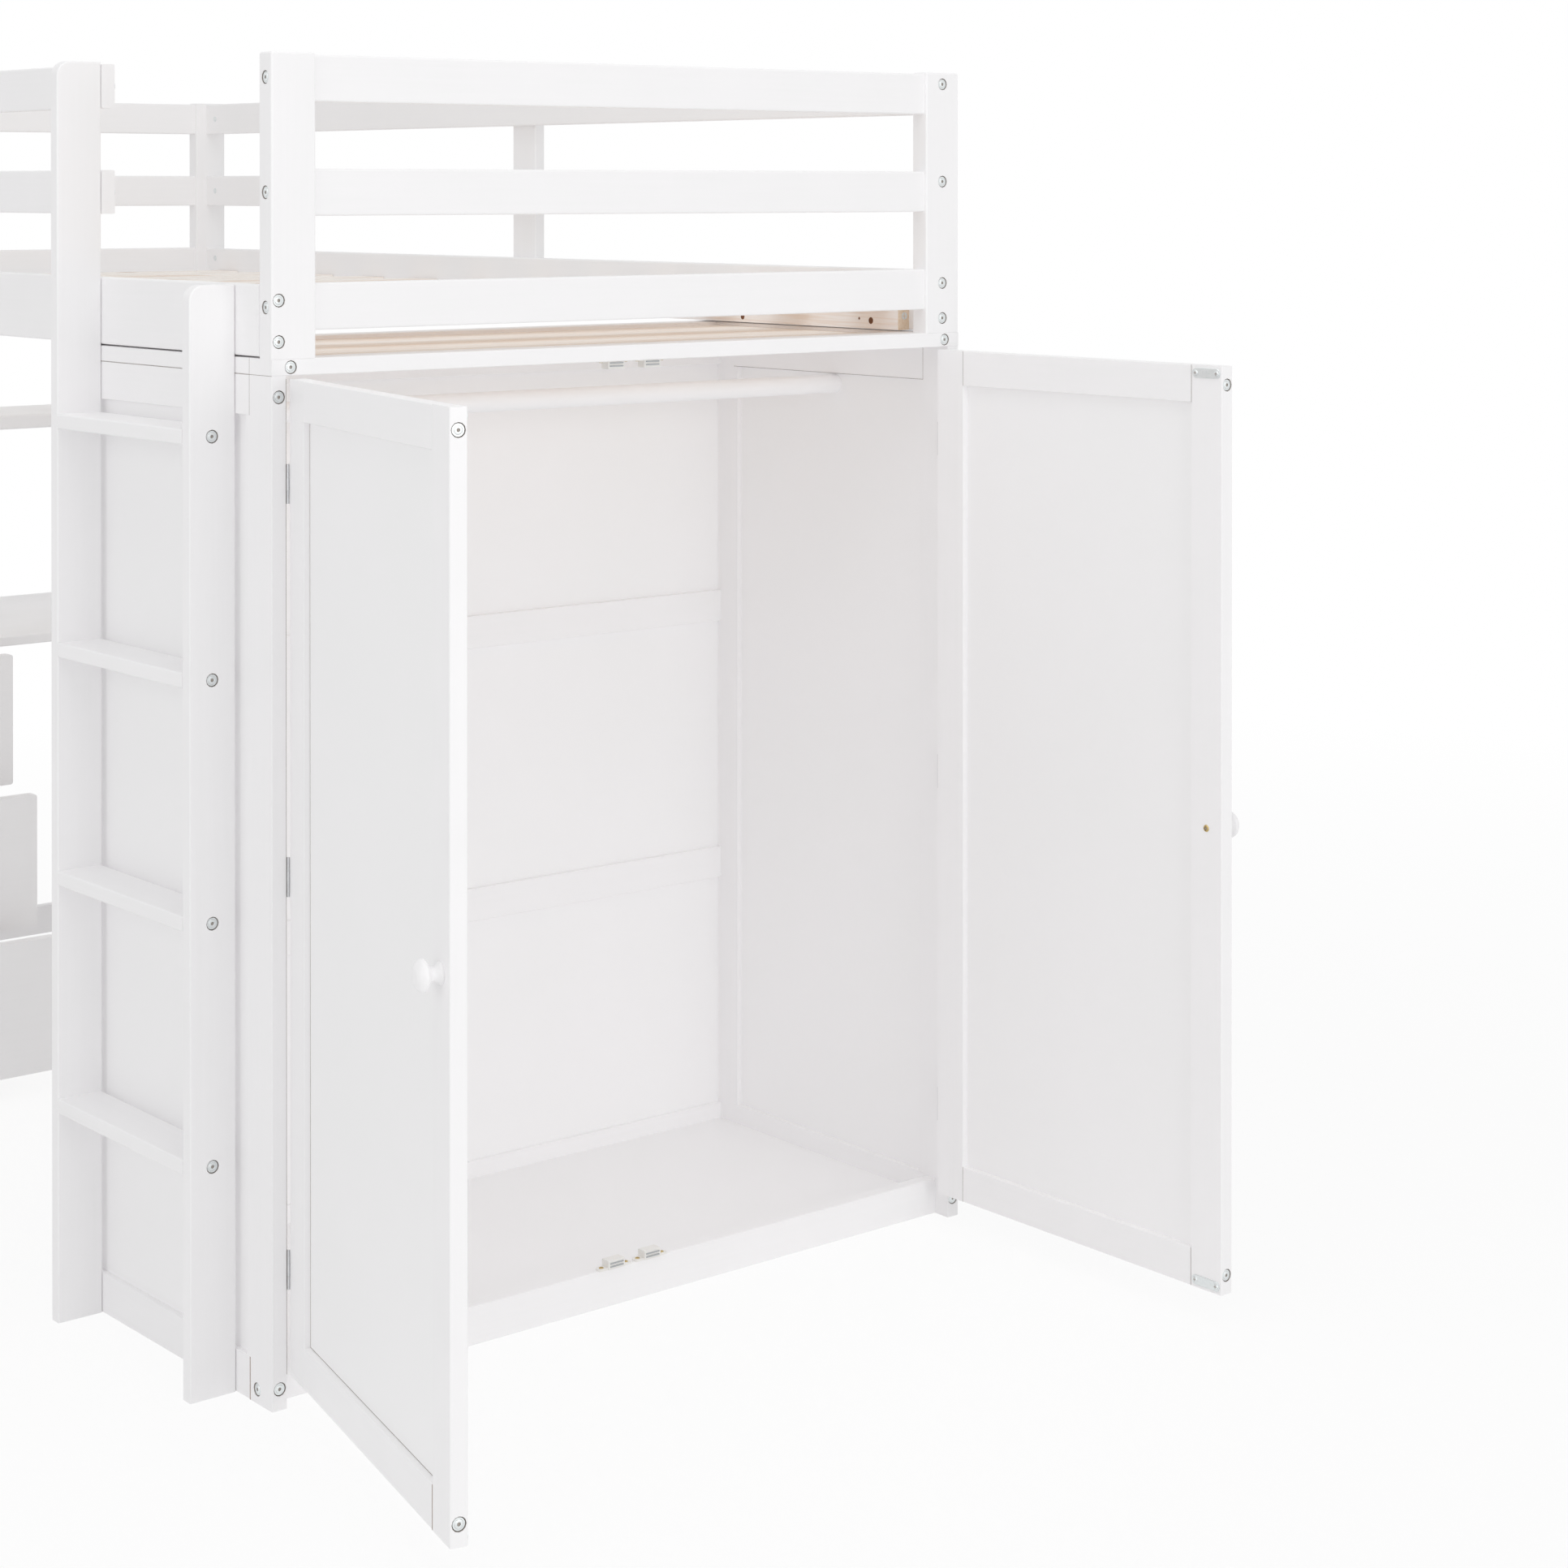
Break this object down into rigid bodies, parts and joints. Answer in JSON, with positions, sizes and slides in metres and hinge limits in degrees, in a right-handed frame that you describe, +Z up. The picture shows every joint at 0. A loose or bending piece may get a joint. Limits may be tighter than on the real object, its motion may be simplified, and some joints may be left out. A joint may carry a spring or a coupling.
{
  "type": "loft bed",
  "caption": "White painted pine loft bed with a ladder, a two-door wardrobe under the foot end, and a desk, drawers and shelf under the head end.",
  "frame": {"origin": "on the floor, under the middle of the wardrobe's toe board at the foot end", "axes": "+X along the bed towards the wardrobe doors, +Y across the bed away from the ladder, +Z up"},
  "size_m": [2.5122, 1.1834, 1.5405],
  "materials": {
    "white_painted_pine": "satin white paint on solid pine",
    "white_painted_panel": "smooth satin white paint on thin panel",
    "raw_pine": "planed unpainted pine with knots",
    "zinc_plated_steel": "bright zinc plate",
    "white_plastic": "moulded white plastic"
  },
  "bodies": {
    "frame": {"back_stay": "white_painted_pine", "bed_rail_back": "white_painted_pine", "bed_rail_front": "white_painted_pine", "catch_poles": "zinc_plated_steel", "desk_end_panel": "white_painted_pine", "desk_top": "white_painted_pine", "drawer_runners": "raw_pine", "floor_board": "white_painted_panel", "foot_end_rails": "white_painted_pine", "foot_post_back": "white_painted_pine", "foot_post_front": "white_painted_pine", "frame_bolts": "zinc_plated_steel", "frame_hinge_leaves": "zinc_plated_steel", "guard_rails_back": "white_painted_pine", "guard_rails_front": "white_painted_pine", "hanging_rod": "white_painted_pine", "head_end_rails": "white_painted_pine", "head_post_back": "white_painted_pine", "head_post_front": "white_painted_pine", "head_stretcher": "white_painted_pine", "ladder_long_stile": "white_painted_pine", "ladder_rungs": "white_painted_pine", "ladder_short_stile": "white_painted_pine", "magnetic_catches": "white_plastic", "pedestal_panels": "white_painted_pine", "shelf": "white_painted_pine", "shelf_supports": "white_painted_pine", "slat_battens": "raw_pine", "slats": "raw_pine", "toe_board": "white_painted_pine", "top_board": "raw_pine", "top_cross_rails": "white_painted_pine", "top_side_rails": "white_painted_pine", "wardrobe_back_panels": "white_painted_panel", "wardrobe_back_rails": "white_painted_pine", "wardrobe_side_panels": "white_painted_panel", "wardrobe_side_rails": "white_painted_pine", "wardrobe_stiles": "white_painted_pine"},
    "bottom_drawer": {"bottom_drawer_box": "raw_pine", "bottom_drawer_front": "white_painted_pine", "bottom_drawer_knob": "white_painted_pine"},
    "left_door": {"left_door_fittings": "zinc_plated_steel", "left_door_hinge_leaves": "zinc_plated_steel", "left_door_knob": "white_painted_pine", "left_door_panel": "white_painted_panel", "left_door_rails": "white_painted_pine", "left_door_stiles": "white_painted_pine"},
    "middle_drawer": {"middle_drawer_box": "raw_pine", "middle_drawer_front": "white_painted_pine", "middle_drawer_knob": "white_painted_pine"},
    "right_door": {"right_door_fittings": "zinc_plated_steel", "right_door_hinge_leaves": "zinc_plated_steel", "right_door_knob": "white_painted_pine", "right_door_panel": "white_painted_panel", "right_door_rails": "white_painted_pine", "right_door_stiles": "white_painted_pine"},
    "top_drawer": {"top_drawer_box": "raw_pine", "top_drawer_front": "white_painted_pine", "top_drawer_knob": "white_painted_pine"}
  },
  "joints": [
    {"name": "left_door_hinge", "type": "hinge", "parent": "frame", "child": "left_door", "pos_m": [0.0361, -0.509, 0.604], "axis": [0, 0, -1], "range_deg": [-102.8, 77.2]},
    {"name": "right_door_hinge", "type": "hinge", "parent": "frame", "child": "right_door", "pos_m": [0.0361, 0.509, 0.604], "axis": [0, 0, 1], "range_deg": [-90.2, 89.8]},
    {"name": "top_drawer_slide", "type": "slide", "parent": "frame", "child": "top_drawer", "axis": [1, 0, 0], "range_m": [-0.06, 0.22]},
    {"name": "middle_drawer_slide", "type": "slide", "parent": "frame", "child": "middle_drawer", "axis": [1, 0, 0], "range_m": [-0.143, 0.137]},
    {"name": "bottom_drawer_slide", "type": "slide", "parent": "frame", "child": "bottom_drawer", "axis": [1, 0, 0], "range_m": [-0.212, 0.068]}
  ]
}
